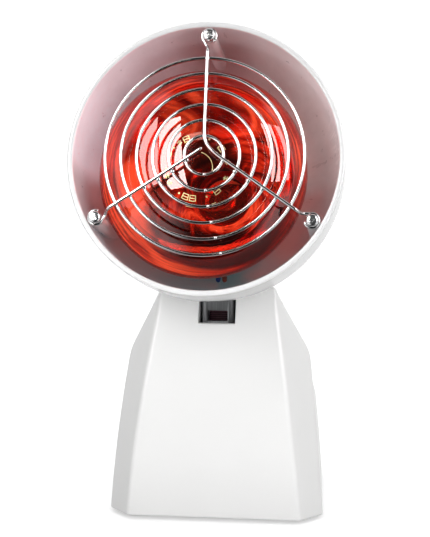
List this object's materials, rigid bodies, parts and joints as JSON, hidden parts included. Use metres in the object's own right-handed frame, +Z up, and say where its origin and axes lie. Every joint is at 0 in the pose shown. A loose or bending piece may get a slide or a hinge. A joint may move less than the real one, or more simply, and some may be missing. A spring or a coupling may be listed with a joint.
{
  "type": "infrared heat lamp",
  "caption": "Desk infrared heat lamp: deep round reflector shade with red bulb and chrome wire guard, tilting on a slotted wedge-shaped white base.",
  "frame": {"origin": "centre of the bounding box at table level, under the middle of the lamp", "axes": "+Z up, -Y the side the lamp shines to, X across, along the tilt hinge"},
  "size_m": [0.1242, 0.1644, 0.2365],
  "materials": {
    "white_shell": "satin white moulded plastic",
    "shade_white": "gloss white outside, bright metallised coating inside",
    "dark_plastic": "fine matt texture",
    "black_rubber": "matt",
    "grey_rubber": "matt",
    "ivory_plastic": "matt",
    "zinc_steel": "zinc plated",
    "arm_steel": "vertical brushed grain",
    "chrome_wire": "bright chrome",
    "brass": "plain",
    "red_glass": "ruby glass, silvered behind",
    "clear_glass": "clear",
    "tungsten": "dull wire",
    "cap_metal": "rolled",
    "cap_insulator": "black fired",
    "porcelain": "glazed",
    "wire_brown": "silicone sleeve",
    "wire_blue": "silicone sleeve",
    "sleeve_maroon": "woven glass fibre sleeve"
  },
  "bodies": {
    "base": {"base_shell": "white_shell", "base_plate": "white_shell", "rubber_feet": "black_rubber", "base_screws": "zinc_steel", "cord_bush": "black_rubber", "switch_body": "dark_plastic", "terminal_block": "ivory_plastic", "terminal_screws": "brass", "base_wire_brown": "wire_brown", "base_wire_blue": "wire_blue", "pivot_bolt": "zinc_steel", "pivot_nut": "zinc_steel", "friction_washers": "grey_rubber"},
    "head": {"tilt_arm": "arm_steel", "arm_screws": "zinc_steel", "arm_nuts": "zinc_steel", "shade": "shade_white", "shade_neck": "shade_white", "wire_bush": "black_rubber", "rear_cap": "white_shell", "rear_cap_screws": "zinc_steel", "holder_bridge": "zinc_steel", "bridge_screws": "zinc_steel", "lamp_holder": "porcelain", "holder_sleeve": "brass", "holder_contact": "brass", "holder_screws": "zinc_steel", "bulb_glass": "red_glass", "bulb_cap": "cap_metal", "bulb_contact": "cap_insulator", "bulb_stem": "clear_glass", "bulb_filament": "tungsten", "guard_rings": "chrome_wire", "guard_long_spoke": "chrome_wire", "guard_short_spoke": "chrome_wire", "guard_screws": "chrome_wire", "head_wire_brown": "wire_brown", "head_wire_blue": "wire_blue", "wire_sleeve": "sleeve_maroon"},
    "switch_rocker_body": {"switch_rocker": "dark_plastic"}
  },
  "joints": [
    {"name": "head_tilt", "type": "hinge", "parent": "base", "child": "head", "pos_m": [0, 0.00493, 0.088], "axis": [-1, 0, 0], "range_deg": [-16, 18]},
    {"name": "switch_rock", "type": "hinge", "parent": "base", "child": "switch_rocker_body", "pos_m": [0.018, 0.07143, 0.027], "axis": [-1, 0, 0], "range_deg": [0, 16]}
  ]
}
